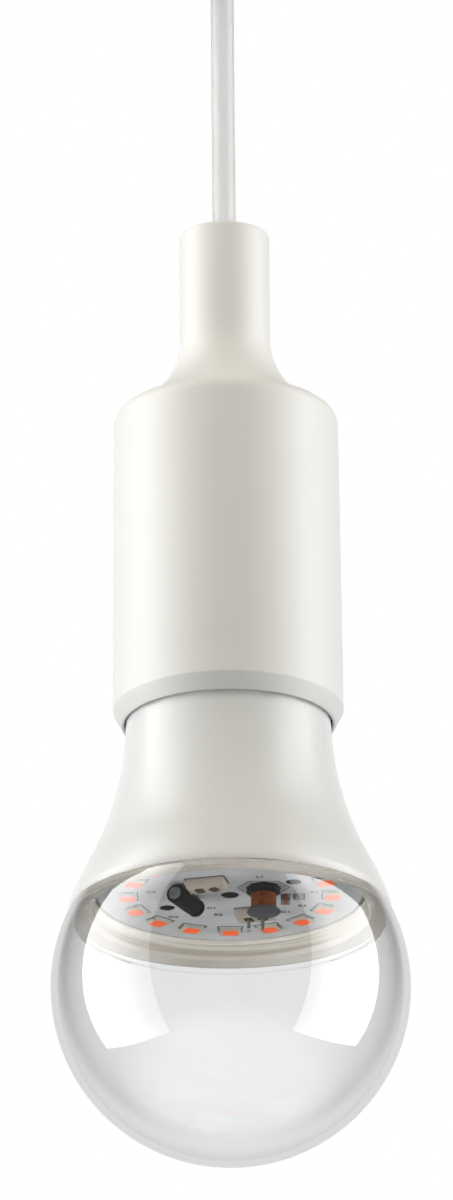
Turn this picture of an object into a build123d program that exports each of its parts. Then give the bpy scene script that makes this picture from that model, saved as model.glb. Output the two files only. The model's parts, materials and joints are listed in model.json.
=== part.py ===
from build123d import *
import os
from math import asin, copysign, cos, degrees, radians, sin, sqrt

# Clear A60 grow bulb screwed into a white pendant lampholder that hangs from a small ceiling rose.
# Millimetres, +Z up. The origin is the centre of the rose's face against the ceiling.

os.makedirs("parts", exist_ok=True)

# Fits
slip = 0.3
thread_gap = 0.2
clamp_gap = 0.4

# Ceiling rose
rose_r = 32.0
rose_h = 22.0
rose_wall = 2.0
rose_edge_r = 3.0
base_t = 4.0
fixing_pitch = 40.0
fixing_hole_r = 2.2
feed_hole_r = 5.0
bush_flange_r = 5.0
bush_flange_t = 1.2
bush_sleeve_r = 3.6
stalk_x = 5.0
stalk_t = 3.0
stalk_w = 14.0
clamp_top = 10.0
clamp_bottom = 18.0
clamp_bar_t = 3.0
clamp_screw_x = 4.6
clamp_screw_r = 1.2
clamp_head_r = 2.2
clamp_head_h = 1.6
block_w = 16.0
block_d = 9.0
block_h = 6.0
block_inset = 9.0
block_way_depth = 5.4
core_fan_run = 3.0

# Cord and its two cores
cord_r = 1.975
cord_drop = 60.8
cord_top = 9.0
cord_tail = 4.0
core_r = 0.85
core_half_pitch = 0.95
core_bend_r = 1.4

# Lampholder sleeve
neck_r = 7.67
neck_len = 18.8
neck_edge_r = 0.6
neck_roof = 2.6
shoulder_slope = 20.0
shoulder_r = 2.6
body_top_r = 18.97
body_bottom_r = 19.39
body_len = 51.0
chamfer_h = 2.75
lip_outer_r = 17.92
roof_below_shoulder = 2.8
roof_step = 1.5
roof_inset = 3.0
cone_below_flare = 6.5
grip_bore_r = 5.2
grip_len = 12.0

# Lampholder insert, its contacts and terminals
insert_inset = 6.0
insert_skirt_wall = 2.0
insert_skirt_h = 4.0
deck_t = 5.0
shell_bore_r = 14.2
shell_t = 0.45
shell_lead = 0.6
shell_turns = 5.8
shell_flange_t = 0.5
shell_eye_gap = 0.5
terminal_x = 9.0
terminal_l = 7.0
terminal_w = 8.0
terminal_h = 7.0
terminal_hole_depth = 4.5
terminal_screw_r = 1.4
terminal_head_r = 2.2
terminal_head_h = 1.5
screw_depth = 4.0
core_entry_x = 7.2
terminal_screw_x = 10.6
tongue_w = 5.0
tongue_t = 0.5
tongue_foot_x = 4.6
tongue_foot_l = 3.0
rivet_r = 0.9

# Bulb cap, knuckle thread 27
thread_pitch = 3.629
thread_mean_r = 12.59
thread_throw = 0.54
thread_turns = 4.4
cap_sheet = 0.35
cap_skirt_r = 13.4
cap_skirt_h = 3.6
cap_cone_h = 3.0
cap_cone_r = 8.6
insulator_h = 3.0
tip_r = 4.9
tip_h = 1.0
tip_dome_r = 14.0

# Bulb housing and globe
lip_to_globe = 46.5
globe_r = 30.0
globe_t = 1.2
rim_height = 13.7
rim_r = 26.9
housing_wall = 1.3
bulb_neck_r = 17.2
bulb_flare_r = 57.0
bulb_flare_top = 48.0
bulb_flare_end = 21.0
housing_top = 51.0
housing_deck_t = 1.5
housing_edge_r = 0.8
spigot_h = 9.0
spigot_wall = 1.4
collar_gap = 0.25
collar_wall = 1.2
collar_h = 3.1
shoulder_t = 1.4

# Board, heat sink and what stands on the board
board_height = 16.4
board_inset = 1.0
board_gap = 0.3
board_t = 1.0
sink_gap = 0.5
sink_t = 1.2
sink_skirt_r = 16.5
sink_skirt_wall = 1.5
sink_skirt_h = 14.0
ledge_t = 1.4
ledge_overlap = 1.9
middle_hole_r = 1.55
screw_hole_r = 1.35
screw_hole_x = 10.6
screw_hole_y = -6.0
led_count = 16
led_inset = 4.95
led_l = 3.5
led_w = 2.8
led_h = 0.7
coil_x = 5.6
coil_y = -3.6
coil_flange_r = 2.85
coil_flange_t = 0.6
coil_base_t = 1.3
coil_core_r = 1.3
coil_wire_r = 2.15
coil_h = 4.6
can_r = 1.6
can_len = 8.6
can_x = -7.4
can_y = -2.1
can_turn = 65.0
can_clear = 0.1
connector_l = 6.4
connector_w = 3.5
connector_h = 1.6
connector_turn = -14.0
connector_1_x = -3.85
connector_1_y = -6.95
connector_2_x = 4.3
connector_2_y = 7.4
port_pitch = 2.4
port_l = 1.3
port_w = 1.5
port_depth = 1.0
chip_l = 1.6
chip_w = 2.4
chip_h = 1.2
chip_x = 9.3
chip_y = 0.6
driver_l = 3.0
driver_w = 1.7
driver_h = 1.1
driver_gap = 0.9
lead_r = 0.3
lead_hole_r = 0.45
lead_stub = 2.1
lead_bend_r = 4.0

# Heights that follow from the sizes above
cover_z = -rose_h
neck_top_z = cover_z - cord_drop
flare_top_z = neck_top_z - neck_len
slope = radians(shoulder_slope)
flare_r = (body_top_r - neck_r) / (1 - sin(slope)) - shoulder_r
shoulder_z = flare_top_z - (flare_r + shoulder_r) * cos(slope)
chamfer_z = shoulder_z - body_len
lip_z = chamfer_z - chamfer_h
globe_z = lip_z - lip_to_globe
bore_r = bulb_neck_r + slip
insert_z = lip_z + insert_inset
cap_z = globe_z + housing_top
cap_thread_z = cap_z + cap_skirt_h
cap_thread_top = cap_thread_z + thread_turns * thread_pitch
cap_top = cap_thread_top + cap_cone_h
tip_z = cap_top + insulator_h
deck_z = tip_z + tip_h + slip + 2.5 * tongue_t + 1.2
deck_top = deck_z + deck_t
roof_z = shoulder_z - roof_below_shoulder
grip_top = neck_top_z - neck_roof
grip_bottom = grip_top - grip_len
cord_end = grip_bottom - cord_tail
board_z = globe_z + board_height
sink_z = board_z + board_t
sink_back = sink_z + sink_t
rim_z = globe_z + rim_height

base_up = (Align.CENTER, Align.CENTER, Align.MIN)
base_down = (Align.CENTER, Align.CENTER, Align.MAX)


def turned(*edges):
    return revolve(Plane.XZ * make_face(edges), Axis.Z)


def turned_outline(*points):
    return turned(*Polyline(*points, close=True).edges())


def post(radius, low, high, x=0.0, y=0.0):
    return Pos(x, y, low) * Cylinder(radius, high - low, align=base_up)


def wire_run(radius, bend, *points):
    path = FilletPolyline(*points, radius=bend)
    start = Plane(origin=path @ 0, z_dir=path % 0)
    return sweep(start * Circle(radius), path=path)


def thread_rod(mean_r, low, high):
    # A level circle carried off-centre up a helix leaves the rounded knuckle thread.
    turn = 360.0 * (low - cap_thread_z) / thread_pitch
    rod = sweep(
        Pos(thread_throw, 0, 0) * Circle(mean_r),
        path=Helix(thread_pitch, high - low, thread_throw),
        normal=(0, 0, 1),
    )
    return Pos(0, 0, low) * Rot(0, 0, turn) * rod


def save(shape, name):
    shape.label = name
    export_step(shape, "parts/" + name + ".step")


# Ceiling rose: a base plate, a push-on cover, a cord clamp and a two-way terminal block
base_r = rose_r - rose_wall
feed_hole_y = -base_r / 2
block_y = base_r - block_inset - block_d
rose_base = post(base_r, -base_t, 0)
for side in (-1, 1):
    rose_base -= post(fixing_hole_r, -base_t, 0, side * fixing_pitch / 2)
rose_base -= post(feed_hole_r, -base_t, 0, 0, feed_hole_y)
rose_base += Pos(stalk_x + stalk_t / 2, 0, -base_t) * Box(
    stalk_t, stalk_w, clamp_bottom - base_t, align=base_down
)
arm_l = stalk_x - clamp_gap
rose_base += Pos(clamp_gap + arm_l / 2, 0, -clamp_top) * Box(
    arm_l, stalk_w, clamp_bottom - clamp_top, align=base_down
)
rose_base -= post(cord_r, -clamp_bottom, -clamp_top)
clamp_mid_z = -(clamp_top + clamp_bottom) / 2
screw_end_x = stalk_x
clamp_bar = Pos(-clamp_gap - clamp_bar_t / 2, 0, -clamp_top) * Box(
    clamp_bar_t, stalk_w, clamp_bottom - clamp_top, align=base_down
)
clamp_bar -= post(cord_r, -clamp_bottom, -clamp_top)
bar_face_x = -clamp_gap - clamp_bar_t
for number, side in enumerate((-1, 1), start=1):
    shank = Pos(bar_face_x, side * clamp_screw_x, clamp_mid_z) * Rot(0, 90, 0)
    hole = shank * Cylinder(clamp_screw_r, screw_end_x - bar_face_x, align=base_up)
    rose_base -= hole
    clamp_bar -= hole
    screw = hole + shank * Cylinder(clamp_head_r, clamp_head_h, align=base_down)
    save(screw, "clamp_screw_" + str(number))
save(rose_base, "rose_base")
save(clamp_bar, "rose_clamp_bar")

cover_outer = post(rose_r, cover_z, 0)
cover_outer = fillet(cover_outer.faces().sort_by(Axis.Z)[0].edges(), rose_edge_r)
cover = cover_outer - post(base_r, cover_z + rose_wall, 0)
cover -= post(bush_sleeve_r, cover_z, cover_z + rose_wall)
save(cover, "rose_cover")
bush = post(bush_flange_r, cover_z - bush_flange_t, cover_z)
bush += post(bush_sleeve_r, cover_z, cover_z + rose_wall)
bush -= post(cord_r, cover_z - bush_flange_t, cover_z + rose_wall)
save(bush, "rose_bush")

core_rise_z = -(base_t + block_h / 2)
block = Pos(0, block_y + block_d / 2, -base_t) * Box(block_w, block_d, block_h, align=base_down)
core_side_x = block_w / 4
for side in (-1, 1):
    way_in = Pos(side * core_side_x, block_y, core_rise_z) * Rot(-90, 0, 0)
    block -= way_in * Cylinder(core_r, block_way_depth, align=base_up)
save(block, "rose_terminal_block")
for name, side in (("rose_core_live", -1), ("rose_core_neutral", 1)):
    core = wire_run(
        core_r,
        core_bend_r,
        (side * core_half_pitch, 0, -cord_top),
        (side * core_half_pitch, 0, core_rise_z),
        (side * core_side_x, block_y - core_fan_run, core_rise_z),
        (side * core_side_x, block_y + block_way_depth, core_rise_z),
    )
    save(core, name)

# The cord is pulled straight by the weight below it.
save(post(cord_r, cord_end, -cord_top), "cord")

# Lampholder sleeve: neck, flared shoulder, drafted body and chamfered lip in one moulding
flare_centre = (neck_r + flare_r, flare_top_z)
round_centre = (body_top_r - shoulder_r, shoulder_z)
round_end = (round_centre[0] + shoulder_r * sin(slope), shoulder_z + shoulder_r * cos(slope))
edge_centre = (neck_r - neck_edge_r, neck_top_z - neck_edge_r)
cone_top_z = flare_top_z - cone_below_flare
sleeve = turned(
    *Polyline(
        (cord_r, neck_top_z),
        (cord_r, grip_top),
        (grip_bore_r, grip_top),
        (grip_bore_r, cone_top_z),
        (bore_r - roof_inset, roof_z + roof_step),
        (bore_r, roof_z),
        (bore_r, lip_z),
        (lip_outer_r, lip_z),
        (body_bottom_r, chamfer_z),
        (body_top_r, shoulder_z),
    ).edges(),
    CenterArc(round_centre, shoulder_r, 0, 90 - shoulder_slope),
    CenterArc(flare_centre, flare_r, 180, 90 - shoulder_slope),
    Line((neck_r, flare_top_z), (neck_r, edge_centre[1])),
    CenterArc(edge_centre, neck_edge_r, 0, 90),
    Line((edge_centre[0], neck_top_z), (cord_r, neck_top_z)),
)
save(sleeve, "holder_sleeve")
save(post(grip_bore_r, grip_bottom, grip_top) - post(cord_r, grip_bottom, grip_top), "cord_grip")

# Insert: an insulating body with the screw shell under its deck and the terminals on top
skirt_r = bore_r - insert_skirt_wall
skirt_top = deck_top + insert_skirt_h
insert = turned_outline(
    (shell_bore_r, insert_z),
    (bore_r, insert_z),
    (bore_r, skirt_top),
    (skirt_r, skirt_top),
    (skirt_r, deck_top),
    (0, deck_top),
    (0, deck_z),
    (shell_bore_r, deck_z),
)
contact_rivet_x = -tongue_foot_x
shell_rivet_x = terminal_x
rivets = {
    "contact_rivet": post(rivet_r, deck_z, deck_top, contact_rivet_x),
    "shell_rivet": post(rivet_r, deck_z, deck_top, shell_rivet_x),
}
for name, rivet in rivets.items():
    insert -= rivet
    save(rivet, name)
save(insert, "holder_insert")

shell_z = cap_thread_z + shell_lead
shell_inner_r = thread_mean_r + thread_gap
shell_outer_r = shell_inner_r + shell_t
shell_thread_top = shell_z + shell_turns * thread_pitch
shell_low_r = shell_inner_r - thread_throw - shell_t / 4
shell_high_r = shell_outer_r + thread_throw + shell_t / 4
shell_wall_r = shell_high_r - shell_t
shell_eye_r = sqrt((tongue_foot_x + tongue_foot_l / 2) ** 2 + (tongue_w / 2) ** 2) + shell_eye_gap
screw_shell = thread_rod(shell_outer_r, shell_z, shell_thread_top)
screw_shell -= thread_rod(shell_inner_r, shell_z, shell_thread_top)
screw_shell += turned_outline(
    (shell_low_r, shell_thread_top),
    (shell_high_r, shell_thread_top),
    (shell_high_r, deck_z),
    (shell_eye_r, deck_z),
    (shell_eye_r, deck_z - shell_flange_t),
    (shell_wall_r, deck_z - shell_flange_t),
    (shell_wall_r, shell_thread_top + shell_flange_t),
    (shell_low_r, shell_thread_top + shell_flange_t),
)
save(screw_shell, "screw_shell")

# The middle contact is a strip with its foot on the deck and its free end over the bulb's tip.
foot_end_x = -tongue_foot_x + tongue_foot_l / 2
free_z = tip_z + tip_h + slip
tongue_outline = Polyline(
    (-tongue_foot_x - tongue_foot_l / 2, deck_z),
    (foot_end_x, deck_z),
    (0, free_z + tongue_t),
    (tongue_foot_l, free_z + tongue_t),
    (tongue_foot_l, free_z),
    (-tongue_t / 2, free_z),
    (foot_end_x - tongue_t / 2, deck_z - tongue_t),
    (-tongue_foot_x - tongue_foot_l / 2, deck_z - tongue_t),
    close=True,
)
tongue = extrude(Plane.XZ * make_face(tongue_outline.edges()), tongue_w / 2, both=True)
save(tongue, "centre_contact")

contact_block_l = terminal_x + terminal_l / 2 - tongue_foot_x + 2 * rivet_r
shell_block_l = terminal_l
entry_z = deck_top + terminal_h - terminal_hole_depth
for name, side, length in (("live", -1, contact_block_l), ("neutral", 1, shell_block_l)):
    outer_x = terminal_x + terminal_l / 2
    block = Pos(side * (outer_x - length / 2), 0, deck_top) * Box(
        length, terminal_w, terminal_h, align=base_up
    )
    block -= post(core_r, entry_z, deck_top + terminal_h, side * core_entry_x)
    screw_x = side * terminal_screw_x
    head_z = deck_top + terminal_h
    screw = post(terminal_screw_r, head_z - screw_depth, head_z, screw_x)
    block -= screw
    screw += post(terminal_head_r, head_z, head_z + terminal_head_h, screw_x)
    save(block, "terminal_" + name)
    save(screw, "terminal_screw_" + name)
    bend_z = deck_top + terminal_h + 2.2 * core_bend_r
    core = wire_run(
        core_r,
        core_bend_r,
        (side * core_half_pitch, 0, cord_end),
        (side * core_half_pitch, 0, cord_end - 1.6 * core_bend_r),
        (side * core_entry_x, 0, bend_z),
        (side * core_entry_x, 0, entry_z),
    )
    save(core, "holder_core_" + name)

# Bulb cap: rolled sheet with the knuckle thread, a glass insulator and the tip contact
skirt_inner_r = cap_skirt_r - cap_sheet
cap_inner_r = thread_mean_r - cap_sheet
thread_low_r = thread_mean_r - thread_throw - 1.5 * cap_sheet
cap_shell = thread_rod(thread_mean_r, cap_thread_z, cap_thread_top)
cap_shell -= thread_rod(cap_inner_r, cap_thread_z, cap_thread_top - cap_sheet)
cap_shell -= post(thread_low_r, cap_thread_z, cap_thread_top)
cap_shell += turned_outline(
    (skirt_inner_r, cap_z),
    (cap_skirt_r, cap_z),
    (cap_skirt_r, cap_thread_z),
    (thread_low_r, cap_thread_z),
    (thread_low_r, cap_thread_z - cap_sheet),
    (skirt_inner_r, cap_thread_z - cap_sheet),
)
cap_shell += turned_outline(
    (thread_low_r, cap_thread_top),
    (thread_low_r + cap_sheet, cap_thread_top),
    (cap_cone_r, cap_top),
    (cap_cone_r - 2 * cap_sheet, cap_top),
)
save(cap_shell, "cap_shell")
plug_r = cap_cone_r - 2 * cap_sheet
insulator = turned_outline(
    (0, cap_top - 2 * cap_sheet),
    (plug_r, cap_top - 2 * cap_sheet),
    (plug_r, cap_top),
    (cap_cone_r, cap_top),
    (tip_r, tip_z),
    (0, tip_z),
)
insulator -= post(lead_r, cap_top - 2 * cap_sheet, tip_z)
save(insulator, "cap_insulator")
tip_fall = tip_dome_r - sqrt(tip_dome_r**2 - tip_r**2)
tip_span = degrees(asin(tip_r / tip_dome_r))
tip = turned(
    Line((0, tip_z), (tip_r, tip_z)),
    Line((tip_r, tip_z), (tip_r, tip_z + tip_h - tip_fall)),
    CenterArc((0, tip_z + tip_h - tip_dome_r), tip_dome_r, 90 - tip_span, tip_span),
    Line((0, tip_z + tip_h), (0, tip_z)),
)
save(tip, "cap_contact")

# Bulb housing: a trumpet-shaped wall between the cap and the globe
flare_top = globe_z + bulb_flare_top
flare_fall = bulb_flare_top - bulb_flare_end
flare_turn = asin(flare_fall / bulb_flare_r)
trumpet_x = bulb_neck_r + bulb_flare_r
inner_flare_r = bulb_flare_r + housing_wall


def on_flare(radius):
    return (trumpet_x - radius * cos(flare_turn), flare_top - radius * sin(flare_turn))


flare_span = degrees(flare_turn)
away = (sin(flare_turn), -cos(flare_turn))
rim_inner_r = rim_r - housing_wall


def inside_r(z):
    # The wall's inner face on the arc between the flare and the rim
    start_x, start_z = on_flare(inner_flare_r)
    run_x, run_z = rim_inner_r - start_x, rim_z - start_z
    bend_r = (run_x**2 + run_z**2) / (2 * (run_x * cos(flare_turn) + run_z * sin(flare_turn)))
    rise = z - start_z - bend_r * sin(flare_turn)
    return start_x + bend_r * cos(flare_turn) - copysign(sqrt(bend_r**2 - rise**2), bend_r)


# What stands inside the wall clears its narrowest place over the same height.
collar_r = min(rim_inner_r, inside_r(rim_z + collar_h)) - collar_gap
sink_r = min(inside_r(sink_z), inside_r(sink_back)) - sink_gap
board_r = min(sink_r - board_inset, collar_r - collar_wall - board_gap)
led_ring_r = board_r - led_inset
top_z = cap_z
edge_mid = (bulb_neck_r - housing_edge_r, top_z - housing_edge_r)
deck_low = top_z - housing_deck_t
spigot_r = skirt_inner_r
spigot_neck_r = thread_low_r - slip
spigot_hole_r = spigot_neck_r - spigot_wall
spigot_top = top_z + spigot_h
step_z = cap_thread_z - cap_sheet
housing = turned(
    CenterArc((trumpet_x, flare_top), bulb_flare_r, 180, flare_span),
    TangentArc(on_flare(bulb_flare_r), (rim_r, rim_z), tangent=away),
    Line((rim_r, rim_z), (rim_inner_r, rim_z)),
    TangentArc(on_flare(inner_flare_r), (rim_inner_r, rim_z), tangent=away),
    CenterArc((trumpet_x, flare_top), inner_flare_r, 180, flare_span),
    *Polyline(
        (bulb_neck_r - housing_wall, flare_top),
        (bulb_neck_r - housing_wall, deck_low),
        (spigot_hole_r, deck_low),
        (spigot_hole_r, spigot_top),
        (spigot_neck_r, spigot_top),
        (spigot_neck_r, step_z),
        (spigot_r, step_z),
        (spigot_r, top_z),
        (edge_mid[0], top_z),
    ).edges(),
    CenterArc(edge_mid, housing_edge_r, 0, 90),
    Line((bulb_neck_r, edge_mid[1]), (bulb_neck_r, flare_top)),
)
ledge_bore_r = sink_r - ledge_overlap
ledge = post(rim_r, sink_back, sink_back + ledge_t) - post(ledge_bore_r, sink_back, sink_back + ledge_t)
inside = turned(
    CenterArc((trumpet_x, flare_top), inner_flare_r - housing_wall / 2, 180, flare_span),
    TangentArc(
        on_flare(inner_flare_r - housing_wall / 2), (rim_r - housing_wall / 2, rim_z), tangent=away
    ),
    *Polyline(
        (rim_r - housing_wall / 2, rim_z),
        (0, rim_z),
        (0, flare_top),
        (bulb_neck_r - housing_wall / 2, flare_top),
    ).edges(),
)
housing += ledge & inside
save(housing, "bulb_housing")

# Heat sink: a plate under the ledge, with a tubular skirt behind it
sink = post(sink_r, sink_z, sink_back)
sink += post(sink_skirt_r, sink_back, sink_back + sink_skirt_h)
sink -= post(sink_skirt_r - sink_skirt_wall, sink_back, sink_back + sink_skirt_h)
board = post(board_r, board_z, sink_z)
hole_spots = (
    (0, 0, middle_hole_r),
    (screw_hole_x, screw_hole_y, screw_hole_r),
    (-screw_hole_x, -screw_hole_y, screw_hole_r),
)
turn_2 = radians(connector_turn)
lead_spots = []
for side in (-1, 1):
    lead_x = connector_2_x + side * port_pitch / 2 * cos(turn_2)
    lead_y = connector_2_y + side * port_pitch / 2 * sin(turn_2)
    lead_spots.append((lead_x, lead_y))
for x, y, radius in hole_spots + tuple((x, y, lead_hole_r) for x, y in lead_spots):
    sink -= post(radius, sink_z, sink_back, x, y)
    board -= post(radius, board_z, sink_z, x, y)
save(sink, "heat_sink")
save(board, "led_board")

for number in range(led_count):
    place = Rot(0, 0, 360.0 * number / led_count) * Pos(0, led_ring_r, board_z)
    save(place * Box(led_l, led_w, led_h, align=base_down), "led_" + str(number + 1).zfill(2))

coil_low = board_z - coil_h
coil = post(coil_flange_r, board_z - coil_base_t, board_z, coil_x, coil_y)
coil += post(coil_core_r, coil_low, board_z, coil_x, coil_y)
coil += post(coil_flange_r, coil_low, coil_low + coil_flange_t, coil_x, coil_y)
save(coil, "inductor_core")
winding_low = coil_low + coil_flange_t
winding_high = board_z - coil_base_t
winding = post(coil_wire_r, winding_low, winding_high, coil_x, coil_y)
winding -= post(coil_core_r, winding_low, winding_high, coil_x, coil_y)
save(winding, "inductor_winding")

can_place = Pos(can_x, can_y, board_z - can_r - can_clear) * Rot(0, 0, can_turn) * Rot(0, 90, 0)
can = can_place * Cylinder(can_r, can_len)
save(can, "capacitor")

for number, x, y in ((1, connector_1_x, connector_1_y), (2, connector_2_x, connector_2_y)):
    place = Pos(x, y, board_z) * Rot(0, 0, connector_turn)
    connector = place * Box(connector_l, connector_w, connector_h, align=base_down)
    for side in (-1, 1):
        port = place * Pos(side * port_pitch / 2, 0, -connector_h)
        connector -= port * Box(port_l, port_w, port_depth, align=base_up)
        way = place * Pos(side * port_pitch / 2, 0, -connector_h)
        connector -= way * Cylinder(lead_hole_r, connector_h, align=base_up)
    save(connector, "wire_connector_" + str(number))
save(Pos(chip_x, chip_y, board_z) * Box(chip_l, chip_w, chip_h, align=base_down), "chip_capacitor")
driver_y = -(led_ring_r + led_w / 2 + driver_gap + driver_w / 2)
save(Pos(0, driver_y, board_z) * Box(driver_l, driver_w, driver_h, align=base_down), "driver_chip")

# Stiff leads from the cap pass through the board into the ports of the second connector.
lead_low = board_z - connector_h - lead_stub
lead_knee = sink_back + sink_skirt_h
lead_shoulder = spigot_top - lead_bend_r
live_x, live_y = lead_spots[0]
live_lead = wire_run(
    lead_r,
    lead_bend_r,
    (0, 0, tip_z),
    (0, 0, lead_shoulder),
    (live_x, live_y, lead_knee),
    (live_x, live_y, lead_low),
)
save(live_lead, "lead_live")
neutral_x, neutral_y = lead_spots[1]
crimp_x = thread_low_r - lead_r
crimp_z = spigot_top + slip + lead_r
neutral_lead = wire_run(
    lead_r,
    lead_bend_r,
    (crimp_x, 0, crimp_z),
    (neutral_x, neutral_y / 4, crimp_z),
    (neutral_x, neutral_y, lead_knee),
    (neutral_x, neutral_y, lead_low),
)
save(neutral_lead, "lead_neutral")

# Globe: a clear sphere with a step under the housing's rim and a collar inside it
cut_angle = degrees(asin(rim_height / globe_r))
cut_r = sqrt(globe_r**2 - rim_height**2)
inner_r = globe_r - globe_t
step_low = rim_height - shoulder_t
step_r = sqrt(inner_r**2 - step_low**2)
step_angle = degrees(asin(step_low / inner_r))
globe = turned(
    CenterArc((0, globe_z), globe_r, -90, 90 + cut_angle),
    *Polyline(
        (cut_r, rim_z),
        (collar_r, rim_z),
        (collar_r, rim_z + collar_h),
        (collar_r - collar_wall, rim_z + collar_h),
        (collar_r - collar_wall, globe_z + step_low),
        (step_r, globe_z + step_low),
    ).edges(),
    CenterArc((0, globe_z), inner_r, -90, 90 + step_angle),
    Line((0, globe_z - inner_r), (0, globe_z - globe_r)),
)
save(globe, "globe")
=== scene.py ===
import json
import math

import bmesh
import bpy
from mathutils import Matrix, Vector


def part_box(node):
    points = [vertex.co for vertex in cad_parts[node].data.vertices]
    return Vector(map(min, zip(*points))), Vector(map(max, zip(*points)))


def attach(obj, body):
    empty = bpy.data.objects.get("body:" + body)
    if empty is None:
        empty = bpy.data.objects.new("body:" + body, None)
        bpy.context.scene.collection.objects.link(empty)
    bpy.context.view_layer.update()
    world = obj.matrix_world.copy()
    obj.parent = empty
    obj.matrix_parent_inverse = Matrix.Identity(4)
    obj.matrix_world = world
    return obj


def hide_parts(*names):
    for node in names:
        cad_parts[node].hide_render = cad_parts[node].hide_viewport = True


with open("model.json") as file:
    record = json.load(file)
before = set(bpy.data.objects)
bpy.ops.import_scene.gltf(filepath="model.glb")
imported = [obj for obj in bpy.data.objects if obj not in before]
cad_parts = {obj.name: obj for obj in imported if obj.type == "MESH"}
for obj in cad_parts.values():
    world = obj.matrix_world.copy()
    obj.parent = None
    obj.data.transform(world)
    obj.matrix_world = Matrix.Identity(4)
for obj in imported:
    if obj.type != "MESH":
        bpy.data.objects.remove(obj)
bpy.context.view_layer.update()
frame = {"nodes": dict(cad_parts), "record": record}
cadNodes = frame["nodes"]
scene = bpy.context.scene
scene.view_settings.view_transform = "Standard"
mm = 0.001
print("frame loaded,", len(cadNodes), "nodes")


def lowOf(node):
    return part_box(node)[0][2] / mm


def highOf(node):
    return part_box(node)[1][2] / mm


def midOf(node, axis):
    low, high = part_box(node)
    return (low[axis] + high[axis]) / 2 / mm


def addObject(name, data):
    item = bpy.data.objects.new(name, data)
    scene.collection.objects.link(item)
    return item


def shift(x, y, z):
    return Matrix.Translation(Vector((x, y, z)) * mm)


def turned(degrees, axis):
    return Matrix.Rotation(math.radians(degrees), 4, axis)


globeR = 30.0
globeMid = lowOf("globe") + globeR


# camera, below the bulb and looking up at it through a long lens
cameraSet = {
    "place": (-0.00015, -2.080, -0.943),
    "aim": (-0.00015, 0.0, -0.1489),
    "lens": 396.7, "sensor": 36.0, "farthest": 100.0,
    "rollDegrees": -0.5,
}


def makeCamera(s):
    data = bpy.data.cameras.new("photoCamera")
    data.lens = s["lens"]
    data.sensor_width = s["sensor"]
    data.clip_end = s["farthest"]
    camera = addObject("photoCamera", data)
    look = Vector(s["aim"]) - Vector(s["place"])
    turn = look.to_track_quat("-Z", "Y").to_matrix().to_4x4()
    camera.matrix_world = Matrix.Translation(s["place"]) @ turn @ turned(s["rollDegrees"], "Z")
    scene.camera = camera


makeCamera(cameraSet)
print("camera set")


# shader groups shared by several finishes
def setInputs(node, values):
    for key, value in values.items():
        node.inputs[key].default_value = value


def addNode(tree, kind, values=None, **settings):
    # a kind with no family in its name is a shader node
    node = tree.nodes.new(kind if "Node" in kind else "ShaderNode" + kind)
    for key, value in settings.items():
        setattr(node, key, value)
    setInputs(node, values or {})
    return node


def ramp(tree, low, high, start=0.0, end=1.0, smooth=False):
    values = {"From Min": low, "From Max": high, "To Min": start, "To Max": end}
    shape = "SMOOTHSTEP" if smooth else "LINEAR"
    return addNode(tree, "MapRange", values, interpolation_type=shape)


def wire(tree, links):
    for source, output, target, socket in links:
        tree.links.new(source.outputs[output], target.inputs[socket])


def startGroup(name, kind, takes, gives):
    group = bpy.data.node_groups.new(name, kind)
    for way, rows in (("INPUT", takes), ("OUTPUT", gives)):
        for label, sort, *start in rows:
            socket = group.interface.new_socket(label, in_out=way, socket_type="NodeSocket" + sort)
            if start:
                socket.default_value = start[0]
    return group, group.nodes.new("NodeGroupInput"), group.nodes.new("NodeGroupOutput")


finishGives = [("Color", "Color"), ("Roughness", "Float"), ("Height", "Float")]


def makeSkinGroup():
    # moulded plastic: slow clouds of tone, a fine sparkle-free grain, uneven shine
    group, take, give = startGroup("mouldedSkin", "ShaderNodeTree", [
        ("Vector", "Vector"), ("Base", "Color", (0.8, 0.8, 0.8, 1)), ("Tone", "Color", (0.7, 0.7, 0.7, 1)),
        ("Cloud Scale", "Float", 40.0), ("Grain Scale", "Float", 1500.0),
        ("Shiny", "Float", 0.3), ("Dull", "Float", 0.45),
    ], finishGives)
    cloud = addNode(group, "TexNoise", {"Detail": 3.0})
    grain = addNode(group, "TexNoise", {"Detail": 4.0, "Roughness": 0.6})
    mix = addNode(group, "Mix", data_type="RGBA")
    shine = ramp(group, 0.3, 0.7)
    tone = ramp(group, 0.32, 0.68)
    for noise, scale in ((cloud, "Cloud Scale"), (grain, "Grain Scale")):
        wire(group, [(take, "Vector", noise, "Vector"), (take, scale, noise, "Scale")])
    wire(group, [
        (cloud, "Fac", tone, "Value"), (tone, "Result", mix, "Factor"), (take, "Base", mix, "A"),
        (take, "Tone", mix, "B"), (grain, "Fac", shine, "Value"), (take, "Shiny", shine, "To Min"),
        (take, "Dull", shine, "To Max"), (mix, "Result", give, "Color"),
        (shine, "Result", give, "Roughness"), (grain, "Fac", give, "Height"),
    ])
    return group


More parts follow.
